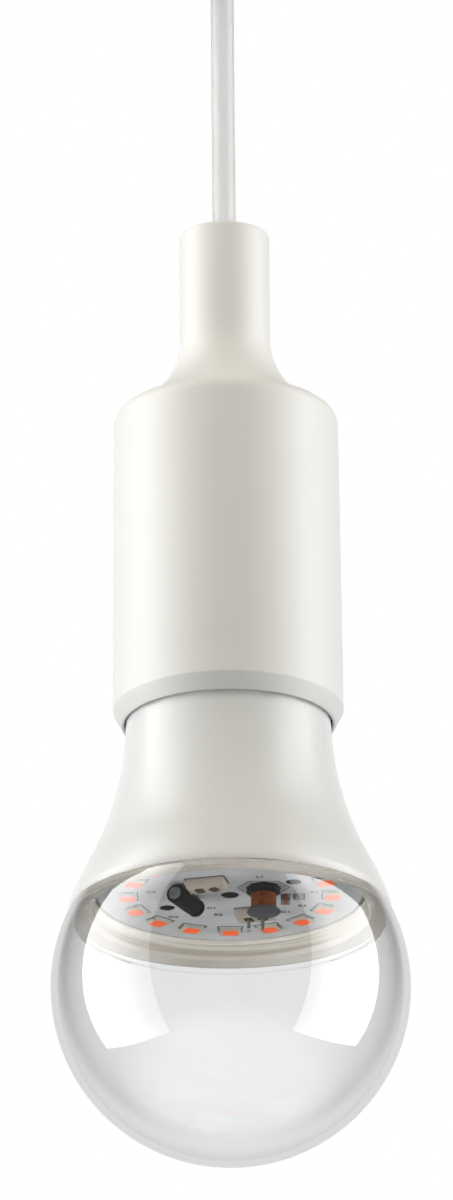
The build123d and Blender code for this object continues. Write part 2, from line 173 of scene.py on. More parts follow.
def makeMetalGroup():
    # worked metal: drawn lines along one axis, tarnish in slow patches
    group, take, give = startGroup("workedMetal", "ShaderNodeTree", [
        ("Vector", "Vector"), ("Bright", "Color", (0.7, 0.7, 0.7, 1)),
        ("Tarnish", "Color", (0.4, 0.4, 0.4, 1)), ("Line Stretch", "Vector", (400.0, 400.0, 6000.0)),
        ("Patch Scale", "Float", 180.0), ("Shiny", "Float", 0.2), ("Dull", "Float", 0.45),
    ], finishGives)
    stretch = addNode(group, "VectorMath", operation="MULTIPLY")
    lines = addNode(group, "TexNoise", {"Scale": 1.0, "Detail": 2.0})
    patch = addNode(group, "TexNoise", {"Detail": 4.0})
    mix = addNode(group, "Mix", data_type="RGBA")
    worn = ramp(group, 0.38, 0.72)
    shine = ramp(group, 0.3, 0.7)
    wire(group, [
        (take, "Vector", stretch, 0), (take, "Line Stretch", stretch, 1),
        (stretch, "Vector", lines, "Vector"), (take, "Vector", patch, "Vector"),
        (take, "Patch Scale", patch, "Scale"), (patch, "Fac", worn, "Value"),
        (worn, "Result", mix, "Factor"), (take, "Bright", mix, "A"), (take, "Tarnish", mix, "B"),
        (lines, "Fac", shine, "Value"), (take, "Shiny", shine, "To Min"), (take, "Dull", shine, "To Max"),
        (mix, "Result", give, "Color"), (shine, "Result", give, "Roughness"), (lines, "Fac", give, "Height"),
    ])
    return group


skinGroup = makeSkinGroup()
metalGroup = makeMetalGroup()


def startFinish(name, group):
    finish = bpy.data.materials.new(name)
    finish.use_nodes = True
    tree = finish.node_tree
    shader = tree.nodes["Principled BSDF"]
    where = addNode(tree, "TexCoord", name="where")
    effect = addNode(tree, "Group", node_tree=group)
    bump = addNode(tree, "Bump")
    wire(tree, [
        (where, "Object", effect, "Vector"), (effect, "Color", shader, "Base Color"),
        (effect, "Roughness", shader, "Roughness"), (effect, "Height", bump, "Height"),
        (bump, "Normal", shader, "Normal"),
    ])
    return finish, shader, effect, bump


def skinFinish(name, base, tone, shine, cloud, grain, bumpMm, bumpShare):
    finish, shader, effect, bump = startFinish(name, skinGroup)
    setInputs(effect, {"Base": (*base, 1), "Tone": (*tone, 1), "Cloud Scale": cloud, "Grain Scale": grain,
                       "Shiny": shine[0], "Dull": shine[1]})
    setInputs(bump, {"Strength": bumpShare, "Distance": bumpMm * mm})
    return finish, finish.node_tree, shader, effect


def overlay(tree, factor, effect, shader, color):
    # a second colour over the group's own, as far as the factor says
    mix = addNode(tree, "Mix", {"B": (*color, 1)}, data_type="RGBA")
    wire(tree, [(factor, "Result", mix, "Factor"), (effect, "Color", mix, "A"),
                (mix, "Result", shader, "Base Color")])
    return mix


def plasticFinish(name, base, tone, shine=(0.3, 0.42), cloud=45.0, grain=1600.0, bumpMm=0.01,
                  coat=0.0, softMm=0.0):
    finish, _, shader, _ = skinFinish(name, base, tone, shine, cloud, grain, bumpMm, 0.5)
    setInputs(shader, {"Coat Weight": coat, "Coat Roughness": 0.08})
    if softMm:  # light creeps this far into the plastic
        setInputs(shader, {"Subsurface Weight": 1.0, "Subsurface Radius": (1.0, 1.0, 1.0),
                           "Subsurface Scale": softMm * mm})
    return finish


def metalFinish(name, bright, tarnish, shine=(0.2, 0.4), stretch=(400, 400, 6000), patch=180.0,
                bumpMm=0.004, coat=0.0):
    finish, shader, effect, bump = startFinish(name, metalGroup)
    setInputs(effect, {"Bright": (*bright, 1), "Tarnish": (*tarnish, 1), "Line Stretch": stretch,
                       "Patch Scale": patch, "Shiny": shine[0], "Dull": shine[1]})
    setInputs(bump, {"Strength": 0.4, "Distance": bumpMm * mm})
    setInputs(shader, {"Metallic": 1.0, "Coat Weight": coat, "Coat Roughness": 0.12})
    return finish


def inCamel(slotName):
    first, *rest = slotName.split("_")
    return first + "".join(word.title() for word in rest)


# two tones, then shine, scales and depths in the order that the two functions take them
plastics = {
    "rose_white": ((0.80, 0.79, 0.76), (0.77, 0.76, 0.72), (0.28, 0.4)),
    "bush_white": ((0.74, 0.73, 0.70), (0.70, 0.69, 0.65), (0.45, 0.6)),
    "block_ivory": ((0.70, 0.66, 0.57), (0.62, 0.57, 0.47)),
    "core_brown": ((0.20, 0.09, 0.045), (0.16, 0.07, 0.035)),
    "core_blue": ((0.05, 0.16, 0.42), (0.04, 0.12, 0.34)),
    "cord_white": ((0.535, 0.535, 0.543), (0.515, 0.515, 0.52), (0.3, 0.4), 60.0, 2600.0, 0.003, 0.0, 20.0),
    "holder_white": ((0.695, 0.69, 0.673), (0.685, 0.68, 0.663), (0.46, 0.52), 35.0, 2600.0, 0.003),
    "insert_ceramic": ((0.80, 0.78, 0.72), (0.74, 0.72, 0.66), (0.12, 0.2)),
    "insulator_black": ((0.012, 0.012, 0.016), (0.02, 0.02, 0.024), (0.06, 0.14)),
    "housing_white": ((0.738, 0.738, 0.735), (0.728, 0.728, 0.725), (0.27, 0.31),
                      30.0, 3000.0, 0.002, 0.1, 2.0),
    "led_cream": ((0.80, 0.76, 0.66), (0.74, 0.70, 0.60), (0.3, 0.45), 900.0, 9000.0, 0.003),
    "ferrite_black": ((0.006, 0.006, 0.008), (0.016, 0.016, 0.019), (0.3, 0.55), 1100.0, 5000.0, 0.03),
    "can_black": ((0.006, 0.006, 0.0065), (0.013, 0.013, 0.0135), (0.45, 0.65), 400.0, 3000.0, 0.01),
    "chip_brown": ((0.34, 0.11, 0.045), (0.24, 0.075, 0.03), (0.3, 0.5), 900.0, 6000.0, 0.005),
    "chip_black": ((0.022, 0.022, 0.024), (0.035, 0.035, 0.036), (0.4, 0.6), 900.0, 7000.0, 0.01),
}
metals = {
    "screw_steel": ((0.62, 0.62, 0.60), (0.45, 0.44, 0.42)),
    "contact_brass": ((0.72, 0.52, 0.20), (0.42, 0.28, 0.11)),
    "cap_nickel": ((0.68, 0.66, 0.61), (0.52, 0.50, 0.45), (0.14, 0.3), (300, 300, 3000)),
    "sink_aluminium": ((0.66, 0.65, 0.62), (0.50, 0.49, 0.46), (0.3, 0.5), (500, 500, 3000)),
    "winding_copper": ((0.46, 0.135, 0.03), (0.29, 0.078, 0.016), (0.26, 0.4), (900, 900, 900),
                       700.0, 0.004, 0.25),
    "lead_tin": ((0.40, 0.40, 0.40), (0.22, 0.22, 0.22), (0.22, 0.42), (2000, 2000, 300), 900.0),
}
finishes = {slotName: plasticFinish(inCamel(slotName), *row) for slotName, row in plastics.items()}
for slotName, row in metals.items():
    finishes[slotName] = metalFinish(inCamel(slotName), *row)


def boardFinish():
    # white solder resist over copper tracks that show through as faint steps of tone
    finish, tree, shader, effect = skinFinish("boardWhite", (0.90, 0.925, 0.955), (0.87, 0.895, 0.925),
                                              (0.28, 0.42), 120.0, 5000.0, 0.01, 0.3)
    track = addNode(tree, "TexVoronoi", {"Scale": 210.0}, distance="CHEBYCHEV", feature="F2")
    edge = ramp(tree, 0.52, 0.56)
    wire(tree, [(tree.nodes["where"], "Object", track, "Vector"), (track, "Distance", edge, "Value")])
    overlay(tree, edge, effect, shader, (0.84, 0.865, 0.90))
    return finish


def connectorFinish():
    # moulded ivory, pale and mottled where faces point down; the flanks take a darker colour as painted shade
    finish, tree, shader, effect = skinFinish("connectorIvory", (0.82, 0.74, 0.60), (0.60, 0.50, 0.37),
                                              (0.3, 0.45), 1600.0, 6000.0, 0.03, 0.6)
    # painted shade: faces that point down keep the pale mottled tone, and steeper faces get the darker colour
    # below
    facing = addNode(tree, "NewGeometry")
    split = addNode(tree, "SeparateXYZ")
    under = ramp(tree, -0.9, -0.4)
    wire(tree, [(facing, "Normal", split, "Vector"), (split, "Z", under, "Value")])
    overlay(tree, under, effect, shader, (0.68, 0.62, 0.53))
    return finish


def phosphorFinish():
    finish, tree, shader, effect = skinFinish("ledPhosphor", (0.86, 0.125, 0.024), (0.80, 0.10, 0.018),
                                              (0.45, 0.6), 1500.0, 9000.0, 0.01, 0.4)
    # painted glow: the phosphor emits its own colour at strength 0.6, so it reads brighter than its surface
    # colour
    wire(tree, [(effect, "Color", shader, "Emission Color")])
    setInputs(shader, {"Emission Strength": 0.6})
    return finish


def glueFinish():
    # adhesive with a painted glow: a weak emission of its own colour stands in for the light that comes
    # through the housing's wall behind it
    finish, tree, shader, effect = skinFinish("glueWhite", (0.93, 0.905, 0.85), (0.88, 0.85, 0.78),
                                              (0.4, 0.6), 500.0, 4000.0, 0.01, 1.0)
    flat = addNode(tree, "VectorMath", {1: (25.0, 25.0, 1500.0)}, operation="MULTIPLY")
    streak = addNode(tree, "TexNoise", {"Scale": 1.0})  # runs that follow the rim
    line = ramp(tree, 0.42, 0.64)
    wire(tree, [(tree.nodes["where"], "Object", flat, 0), (flat, "Vector", streak, "Vector"),
                (streak, "Fac", line, "Value")])
    mix = overlay(tree, line, effect, shader, (0.60, 0.555, 0.47))
    # painted glow: the adhesive's colour, streaks included, is also its emission
    wire(tree, [(mix, "Result", shader, "Emission Color")])
    setInputs(shader, {"Emission Strength": 0.2})
    return finish


def globeFinish():
    # clear polycarbonate; lamps and scattered light pass straight through it
    finish, tree, shader, effect = skinFinish("globeClear", (0.938, 0.942, 0.942), (0.928, 0.933, 0.933),
                                              (0.0, 0.012), 60.0, 90.0, 0.02, 0.02)
    setInputs(shader, {"Transmission Weight": 1.0, "IOR": 1.586, "Specular Tint": (0.25, 0.25, 0.25, 1),
                       "Coat Roughness": 0.0, "Coat IOR": 1.95})
    slant = addNode(tree, "LayerWeight")  # a slanting look passes through more of the wall
    deep = ramp(tree, 0.12, 0.5)
    wire(tree, [(slant, "Facing", deep, "Value")])
    overlay(tree, deep, effect, shader, (0.905, 0.91, 0.91))
    away = addNode(tree, "VectorMath", {1: (0, 0, globeMid * mm)}, operation="DISTANCE")
    skin = ramp(tree, (globeR - 0.7) * mm, (globeR - 0.5) * mm)  # the hard coat is on the outer face alone
    side = addNode(tree, "NewGeometry")
    outside = addNode(tree, "Math", operation="SUBTRACT", use_clamp=True)
    path = addNode(tree, "LightPath")
    free = addNode(tree, "Math", operation="MAXIMUM")
    clear = addNode(tree, "BsdfTransparent")
    pick = addNode(tree, "MixShader")
    wire(tree, [
        (tree.nodes["where"], "Object", away, 0), (away, "Value", skin, "Value"),
        (skin, "Result", outside, 0), (side, "Backfacing", outside, 1),
        (outside, "Value", shader, "Coat Weight"),
        (path, "Is Shadow Ray", free, 0), (path, "Is Diffuse Ray", free, 1), (free, "Value", pick, "Fac"),
        (shader, "BSDF", pick, 1), (clear, "BSDF", pick, 2),
        (pick, "Shader", tree.nodes["Material Output"], "Surface"),
    ])
    return finish


finishes["board_white"] = boardFinish()
finishes["globe_clear"] = globeFinish()
phosphorOrange = phosphorFinish()
glueWhite = glueFinish()
connectorIvory = connectorFinish()
boardPlastics = {
    "printGrey": ((0.10, 0.10, 0.105), (0.15, 0.15, 0.155), (0.45, 0.6), 900.0, 8000.0, 0.003),
    "padCream": ((0.66, 0.65, 0.62), (0.58, 0.57, 0.54), (0.35, 0.5), 700.0, 6000.0, 0.004),
    "flangeGrey": ((0.055, 0.058, 0.066), (0.075, 0.078, 0.086), (0.4, 0.6), 900.0, 7000.0, 0.015),
    "holeBlack": ((0.016, 0.016, 0.016), (0.024, 0.023, 0.022), (0.6, 0.8), 900.0, 6000.0, 0.02),
    "portBrown": ((0.045, 0.030, 0.018), (0.10, 0.065, 0.035), (0.5, 0.7), 1400.0, 6000.0, 0.02),
    "rubberGrey": ((0.085, 0.086, 0.082), (0.20, 0.20, 0.185), (0.4, 0.6), 900.0, 5000.0, 0.02),
}
printGrey, padCream, flangeGrey, holeBlack, portBrown, rubberGrey = [
    plasticFinish(name, *row) for name, row in boardPlastics.items()]
canBare = metalFinish("canBare", (0.34, 0.35, 0.37), (0.16, 0.165, 0.175), (0.1, 0.24), (900, 900, 900),
                      500.0)
for dark in (finishes["can_black"], finishes["ferrite_black"], holeBlack):
    setInputs(dark.node_tree.nodes["Principled BSDF"], {"Specular IOR Level": 0.12})
print("finishes made,", len(bpy.data.materials))

for part in frame["record"]["subparts"]:  # every solid that stays in view gets its finish here
    solid = cadNodes[part["node"]]
    finish = finishes[part["material_slot"]]
    if not solid.material_slots:
        solid.data.materials.append(finish)
    for place in solid.material_slots:
        place.material = finish


# shapes
def softLoop(corners, steps=4):
    # a loop of (radius, height) points; a third number rounds that corner
    loop = []
    for i, corner in enumerate(corners):
        here = Vector(corner[:2])
        if len(corner) < 3:
            loop.append(here)
            continue
        back = Vector(corners[i - 1][:2]) - here
        ahead = Vector(corners[(i + 1) % len(corners)][:2]) - here
        reach = corner[2] / math.tan(back.angle(ahead) / 2)
        reach = min(reach, 0.48 * back.length, 0.48 * ahead.length)
        first = here + back.normalized() * reach
        last = here + ahead.normalized() * reach
        for k in range(steps + 1):
            t = k / steps
            loop.append(first * (1 - t) ** 2 + here * (2 * t * (1 - t)) + last * t * t)
    return loop


def arc(centre, radius, first, last, steps):
    points = []
    for k in range(steps + 1):
        a = math.radians(first + (last - first) * k / steps)
        points.append((centre[0] + radius * math.cos(a), centre[1] + radius * math.sin(a)))
    return points


def asPiece(name, shape, finish, sharp=38.0, place=None):
    if place is not None:
        bmesh.ops.transform(shape, matrix=place, verts=shape.verts[:])
    bmesh.ops.remove_doubles(shape, verts=shape.verts[:], dist=1e-8)
    bmesh.ops.recalc_face_normals(shape, faces=shape.faces[:])
    mesh = bpy.data.meshes.new(name)
    shape.to_mesh(mesh)
    shape.free()
    mesh.materials.append(finish)
    mesh.shade_smooth()
    mesh.set_sharp_from_angle(angle=math.radians(sharp))
    return addObject(name, mesh)


def spin(shape, loop, sides):
    rings = []
    turns = [2 * math.pi * k / sides for k in range(sides)]
    for radius, height in loop:
        if radius < 1e-6:
            rings.append([shape.verts.new((0, 0, height * mm))])
            continue
        r = radius * mm
        rings.append([shape.verts.new((r * math.cos(a), r * math.sin(a), height * mm)) for a in turns])
    for low, high in zip(rings, rings[1:] + rings[:1]):
        if len(low) == 1 and len(high) == 1:
            continue
        for k in range(sides):
            n = (k + 1) % sides
            corners = [low[k % len(low)], low[n % len(low)], high[n % len(high)], high[k % len(high)]]
            shape.faces.new(list(dict.fromkeys(corners)))


def turnedPiece(name, loop, finish, sides=160, place=None, sharp=38.0):
    shape = bmesh.new()
    spin(shape, loop, sides)
    return asPiece(name, shape, finish, sharp, place)


def settle(piece, slotName, *stoodFor, body="bulb"):
    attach(piece, body)
    if stoodFor:
        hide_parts(*stoodFor)
    return piece


def loft(shape, loops, joined=False):
    # loops of 3-D points in mm, each joined to the next, closed at both ends unless the last joins the first
    rings = [[shape.verts.new(Vector(p) * mm) for p in loop] for loop in loops]
    count = len(rings[0])
    for low, high in zip(rings, rings[1:] + rings[:1] if joined else rings[1:]):
        for k in range(count):
            n = (k + 1) % count
            shape.faces.new((low[k], low[n], high[n], high[k]))
    if not joined:
        shape.faces.new(rings[0])
        shape.faces.new(rings[-1])


def lifted(loop, height):
    return [(p[0], p[1] + height) for p in loop]


def softRect(width, depth, radius, z, steps=4, dx=0.0, dy=0.0):
    points = []
    for sx, sy, start in ((1, 1, 0), (-1, 1, 90), (-1, -1, 180), (1, -1, 270)):
        corner = (dx + sx * (width / 2 - radius), dy + sy * (depth / 2 - radius))
        points += [(x, y, z) for x, y in arc(corner, radius, start, start + 90, steps)]
    return points


def pile(shape, rows, joined=False):
    # rounded rectangles, each with its width, depth, corner and height, then steps and middle if they differ
    loft(shape, [softRect(*row) for row in rows], joined)


# cord: round white sleeve, straight under the weight of the holder and bulb
cordSet = {
    "diameter": 3.95,
    "exit": (0.0, 0.0, highOf("holder_sleeve")),
    "route": [(0, 0, lowOf("cord")), (0, 0, -82.8), (0, 0, -52.4), (0, 0, -22.0), (0, 0, highOf("cord"))],
}


def makeCord(s):
    data = bpy.data.curves.new("cordLine", "CURVE")
    data.dimensions = "3D"
    line = data.splines.new("NURBS")
    line.points.add(len(s["route"]) - 1)
    for point, place in zip(line.points, s["route"]):
        point.co = (*(Vector(place) * mm), 1.0)
    line.order_u = 3
    line.use_endpoint_u = True
    line.resolution_u = 12
    data.bevel_depth = s["diameter"] / 2 * mm
    data.bevel_resolution = 10
    data.use_fill_caps = True
    data.materials.append(finishes["cord_white"])
    return addObject("cord_sleeve", data)


cord = settle(makeCord(cordSet), "cord_white", "cord", body="pendant")
print("cord made")

# lampholder sleeve: neck, flared shoulder, drafted body, chamfered lip
sleeveSet = {
    "neckR": 7.67, "neckLen": 18.8, "neckEdge": 0.6, "cordR": 1.975, "neckRoof": 2.6,
    "slope": 20.0, "shoulderR": 2.6, "bodyTopR": 18.97, "bodyLowR": 19.39, "bodyLen": 51.0,
    "chamferEdge": 0.5, "lipR": 17.92, "lipEdge": 0.18, "boreR": 17.5, "gripR": 5.2, "gripDeep": 6.5,
    "roofR": 14.5, "roofDrop": 1.3, "boreDrop": 2.8, "boreEdge": 0.6,
}


def makeSleeve(s):
    top, lip = highOf("holder_sleeve"), lowOf("holder_sleeve")
    slope = math.radians(s["slope"])
    flareR = (s["bodyTopR"] - s["neckR"]) / (1 - math.sin(slope)) - s["shoulderR"]
    flareTop = top - s["neckLen"]
    shoulder = flareTop - (flareR + s["shoulderR"]) * math.cos(slope)
    chamfer = shoulder - s["bodyLen"]
    span = 90 - s["slope"]
    loop = softLoop([
        (s["cordR"], top - s["neckRoof"]), (s["gripR"], top - s["neckRoof"]),
        (s["gripR"], flareTop - s["gripDeep"]), (s["roofR"], shoulder - s["roofDrop"], s["boreEdge"]),
        (s["boreR"], shoulder - s["boreDrop"], s["boreEdge"]), (s["boreR"], lip, s["lipEdge"]),
        (s["lipR"], lip, s["lipEdge"]), (s["bodyLowR"], chamfer, s["chamferEdge"]),
    ])
    for k in range(1, 12):  # even rings keep the long draft smooth
        t = k / 12
        loop.append((s["bodyLowR"] + (s["bodyTopR"] - s["bodyLowR"]) * t, chamfer + (shoulder - chamfer) * t))
    loop += arc((s["bodyTopR"] - s["shoulderR"], shoulder), s["shoulderR"], 0, span, 16)
    loop += arc((s["neckR"] + flareR, flareTop), flareR, 180 + span, 180, 36)[1:]
    edge = (s["neckR"] - s["neckEdge"], top - s["neckEdge"])
    loop += arc(edge, s["neckEdge"], 0, 90, 8)
    loop += [(s["cordR"] + 0.35, top), (s["cordR"] + 0.05, top - 0.3)]
    return turnedPiece("holder_sleeve_skin", loop, finishes["holder_white"], 192)


settle(makeSleeve(sleeveSet), "holder_white", "holder_sleeve", body="pendant")
print("holder sleeve turned")

# ceiling rose: push-on cover and its cord bush
roseSet = {"coverR": 32.0, "edgeR": 3.0, "wall": 2.0, "holeR": 3.6, "flangeR": 5.0, "cordR": 1.975,
           "reliefR": 31.65, "reliefZ": (-0.9, -0.7)}


def makeRose(s):
    low, bush = lowOf("rose_cover"), lowOf("rose_bush")
    inner, roof, cordR = s["coverR"] - s["wall"], low + s["wall"], s["cordR"] + 0.02
    reliefLow, reliefHigh = s["reliefZ"]
    cover = softLoop([
        (s["holeR"], roof), (s["holeR"], low, 0.25), (s["coverR"], low, s["edgeR"]),
        (s["coverR"], reliefLow, 0.15), (s["reliefR"], reliefHigh, 0.1), (s["reliefR"], 0.0, 0.1),
        (inner, 0.0), (inner, roof, 1.2),
    ], 8)
    sleeve = softLoop([
        (cordR, roof), (cordR, bush, 0.35), (s["flangeR"], bush, 0.6), (s["flangeR"], low), (s["holeR"], low),
        (s["holeR"], roof),
    ], 6)
    return (turnedPiece("rose_cover_skin", cover, finishes["rose_white"], 192),
            turnedPiece("rose_bush_skin", sleeve, finishes["bush_white"], 96))


roseCover, roseBush = makeRose(roseSet)
settle(roseCover, "rose_white", "rose_cover", body="pendant")
settle(roseBush, "bush_white", "rose_bush", body="pendant")
print("ceiling rose turned")

# bulb housing: trumpet wall, thin rim, ledge inside, spigot for the cap
housingSet = {
    "neckR": 17.2, "flareR": 57.0, "flareTop": 48.0, "flareEnd": 21.0, "rimR": 26.9, "rimHeight": 13.35,
    "wall": 1.3, "top": 51.0, "deck": 1.5, "edge": 0.8, "rimEdge": 0.22, "rimCurl": 1.0,
    "sink": 1.2, "ledge": 1.4, "ledgeR": 21.4, "boreR": 9.6, "spigotR": 11.0, "seatR": 13.0,
    "seatHeight": 3.25,
}


def trumpet(s, inset, steps):
    # the concave flare, then an arc that leaves it smoothly and ends on the rim
    fall = s["flareTop"] - s["flareEnd"]
    turn = math.asin(fall / s["flareR"])
    centre = (s["neckR"] + s["flareR"], s["flareTop"])
    radius = s["flareR"] + inset
    line = arc(centre, radius, 180, 180 + math.degrees(turn), steps)
    start = Vector(line[-1])
    away = Vector((math.sin(turn), -math.cos(turn)))
    chord = Vector((s["rimR"] - inset, s["rimHeight"])) - start
    side = Vector((-away.y, away.x))
    bend = chord.length_squared / (2 * chord.dot(side))
    middle = start + side * bend
    first = math.degrees(math.atan2(start.y - middle.y, start.x - middle.x))
    end = start + chord
    last = math.degrees(math.atan2(end.y - middle.y, end.x - middle.x))
    last = first + (last - first + 180) % 360 - 180
    return line + arc(middle, abs(bend), first, last, 10)[1:]


def makeHousing(s):
    top = highOf("bulb_housing") - globeMid
    curled = {**s, "rimHeight": s["rimHeight"] + s["rimCurl"]}  # the wall stands upright just above the rim
    outer, inner = trumpet(curled, 0.0, 48), trumpet(s, s["wall"], 48)[::-1]
    rimOut, rimIn = (s["rimR"], s["rimHeight"]), inner.pop(0)
    ledgeLow = highOf("led_board") + s["sink"] - globeMid
    ledgeHigh = ledgeLow + s["ledge"]
    lower = [p for p in inner if p[1] < ledgeLow]
    upper = [p for p in inner if p[1] > ledgeHigh]
    deckLow, seat = s["top"] - s["deck"], s["top"] + s["seatHeight"]
    corners = [
        *outer, (*rimOut, s["rimEdge"]), (*rimIn, s["rimEdge"]), *lower,
        (lower[-1][0] - 0.3, ledgeLow), (s["ledgeR"], ledgeLow), (s["ledgeR"], ledgeHigh),
        (upper[0][0] + 0.1, ledgeHigh), *upper,
        (s["neckR"] - s["wall"], deckLow), (s["boreR"], deckLow), (s["boreR"], top), (s["spigotR"], top),
        (s["spigotR"], seat), (s["seatR"], seat), (s["seatR"], s["top"]), (s["neckR"], s["top"], s["edge"]),
    ]
    loop = lifted(softLoop(corners, 5), globeMid)
    return turnedPiece("bulb_housing_skin", loop, finishes["housing_white"], 192)


settle(makeHousing(housingSet), "housing_white", "bulb_housing")
print("bulb housing turned")

# globe: clear wall with a step under the rim and a collar inside it
globeSet = {
    "wall": 1.2, "rimHeight": housingSet["rimHeight"], "step": 1.9, "collarR": 24.25, "collarWall": 1.0,
    "collarHeight": 3.1, "stepEdge": 0.3, "stepCut": 1.75, "stepSlope": 1.2, "contact": 0.05,
}
glueSet = {
    "low": -0.02, "top": 3.35,
    "wedge": ((26.55, -0.02), (26.55, 0.03), (25.55, 0.1), (25.0, 2.8, 0.2), (24.7, 3.3, 0.2)),
}


def makeGlobe(s):
    inner, rim = globeR - s["wall"], s["rimHeight"]
    low, end = rim - s["step"], rim + s["collarHeight"]
    seat = rim + s["contact"]  # pressed into the rim and the adhesive, with no air between
    outerEnd = math.degrees(math.asin(rim / globeR))
    innerEnd = math.degrees(math.asin(low / inner))
    bore = s["collarR"] - s["collarWall"]
    corners = [
        (0.0, -globeR), *arc((0, 0), globeR, -90, outerEnd, 96)[1:-1],
        (math.sqrt(globeR ** 2 - rim ** 2), seat, 0.15), (s["collarR"], seat), (s["collarR"], end, 0.3),
        (bore, end, 0.3), (bore, low + s["stepCut"], s["stepEdge"]),
        (bore + s["stepSlope"] * s["stepCut"], low + 0.01, s["stepEdge"]),
        (math.sqrt(inner ** 2 - low ** 2), low, s["stepEdge"]),
        *arc((0, 0), inner, innerEnd, -90, 96)[1:-1], (0.0, -inner),
    ]
    return turnedPiece("globe_shell", lifted(softLoop(corners, 4), globeMid), finishes["globe_clear"], 192)


def makeGlueRing(s, globe):
    # white adhesive that fills the wedge between collar and housing and laps over the collar's end
    inside, bore = globe["collarR"] - globe["contact"], globe["collarR"] - globe["collarWall"]
    film = globe["collarHeight"] - globe["contact"]
    corners = [(inside, s["low"]), *s["wedge"], (bore, s["top"]), (bore, film), (inside, film)]
    loop = lifted(softLoop(corners), globeMid + globe["rimHeight"])
    return turnedPiece("globe_adhesive", loop, glueWhite, 192)


settle(makeGlobe(globeSet), "globe_clear", "globe")
settle(makeGlueRing(glueSet, globeSet), "housing_white")
print("globe turned")


# Geometry Nodes: what was grown goes to its place, becomes real and is painted
def endTree(tree, take, give, grown, place):
    move = addNode(tree, "GeometryNodeTransform")
    real = addNode(tree, "GeometryNodeRealizeInstances")
    paint = addNode(tree, "GeometryNodeSetMaterial")
    wire(tree, [
        (*grown, move, "Geometry"), (*place, move, "Translation"), (move, "Geometry", real, "Geometry"),
        (real, "Geometry", paint, "Geometry"), (take, "Finish", paint, "Material"),
        (paint, "Geometry", give, "Geometry"),
    ])
    return tree


# Geometry Nodes: a part set out on a ring, each turned to face the middle
def makeRingTree():
    tree, take, give = startGroup("partsOnRing", "GeometryNodeTree", [
        ("Part", "Object"), ("Count", "Int", 16), ("Ring Radius", "Float", 0.02), ("Height", "Float", 0.0),
        ("Finish", "Material"),
    ], [("Geometry", "Geometry")])
    ring = addNode(tree, "GeometryNodeMeshCircle")
    part = addNode(tree, "GeometryNodeObjectInfo")
    index = addNode(tree, "GeometryNodeInputIndex")
    step = addNode(tree, "Math", {0: 2 * math.pi}, operation="DIVIDE")
    angle = addNode(tree, "Math", {2: -math.pi / 2}, operation="MULTIPLY_ADD")
    euler = addNode(tree, "CombineXYZ")
    turn = addNode(tree, "FunctionNodeEulerToRotation")
    lift = addNode(tree, "CombineXYZ")
    put = addNode(tree, "GeometryNodeInstanceOnPoints")
    wire(tree, [
        (take, "Count", ring, "Vertices"), (take, "Ring Radius", ring, "Radius"),
        (take, "Part", part, "Object"), (take, "Count", step, 1), (index, "Index", angle, 0),
        (step, "Value", angle, 1), (angle, "Value", euler, "Z"), (euler, "Vector", turn, "Euler"),
        (take, "Height", lift, "Z"), (ring, "Mesh", put, "Points"), (part, "Geometry", put, "Instance"),
        (turn, "Rotation", put, "Rotation"),
    ])
    return endTree(tree, take, give, (put, "Instances"), (lift, "Vector"))


# Geometry Nodes: wire wound edge to edge up a drum
def makeCoilTree():
    tree, take, give = startGroup("woundWire", "GeometryNodeTree", [
        ("Turns", "Float", 12.0), ("Coil Radius", "Float", 0.002), ("Wire Radius", "Float", 0.0001),
        ("Coil Height", "Float", 0.003), ("Place", "Vector", (0, 0, 0)), ("Finish", "Material"),
    ], [("Geometry", "Geometry")])
    coil = addNode(tree, "GeometryNodeCurveSpiral", {"Resolution": 48})
    section = addNode(tree, "GeometryNodeCurvePrimitiveCircle", {"Resolution": 8})
    tube = addNode(tree, "GeometryNodeCurveToMesh", {"Fill Caps": True})
    wire(tree, [
        (take, "Turns", coil, "Rotations"), (take, "Coil Radius", coil, "Start Radius"),
        (take, "Coil Radius", coil, "End Radius"), (take, "Coil Height", coil, "Height"),
        (take, "Wire Radius", section, "Radius"), (coil, "Curve", tube, "Curve"),
        (section, "Curve", tube, "Profile Curve"),
    ])
    return endTree(tree, take, give, (tube, "Mesh"), (take, "Place"))


ringTree = makeRingTree()
coilTree = makeCoilTree()


def bakedMesh(host):
    bpy.context.view_layer.update()
    mesh = bpy.data.meshes.new_from_object(host.evaluated_get(bpy.context.evaluated_depsgraph_get()))
    bpy.data.objects.remove(host)
    return mesh


def growPiece(name, tree, values, sharp=38.0, spare=None):
    # runs the tree once and keeps its result as a plain mesh
    host = addObject(name + "_host", bpy.data.meshes.new(name + "_host"))
    step = host.modifiers.new("grow", "NODES")
    step.node_group = tree
    for item in tree.interface.items_tree:
        if item.in_out == "INPUT":
            step[item.identifier] = values[item.name]
    mesh = bakedMesh(host)
    if spare is not None:
        bpy.data.objects.remove(spare)
    mesh.name = name
    mesh.shade_smooth()
    mesh.set_sharp_from_angle(angle=math.radians(sharp))
    return addObject(name, mesh)


# LED ring on the board's lower face
boardZ = lowOf("led_board")
inkThick = 0.03
ledSet = {
    "count": 16, "ringR": midOf("led_01", 1), "length": 3.5, "width": 2.8, "height": 0.58,
    "window": (2.6, 2.55), "windowDeep": 0.1,
    "printHalf": 2.2, "printGap": 0.5, "printLeg": 1.25, "printLine": 0.26,
}


def ledBody(s):
    shape = bmesh.new()
    w, d, face = s["length"], s["width"], -s["height"]
    windowW, windowD = s["window"]
    pile(shape, [
        (w, d, 0.12, 0.0), (w, d, 0.15, -0.3), (w - 0.1, d - 0.1, 0.2, face + 0.04),
        (w - 0.18, d - 0.18, 0.2, face), (windowW + 0.14, windowD + 0.14, 0.6, face),
        (windowW, windowD, 0.56, face + s["windowDeep"]),
    ])
    return shape


def ledGlow(s):
    shape = bmesh.new()
    w, d = s["window"]
    face = -s["height"] + 0.035
    pile(shape, [(w, d, 0.56, face + 0.06), (w + 0.04, d + 0.04, 0.58, face),
                 (w * 0.8, d * 0.76, 0.5, face - 0.02), (w * 0.4, d * 0.36, 0.2, face - 0.028)])
    return shape


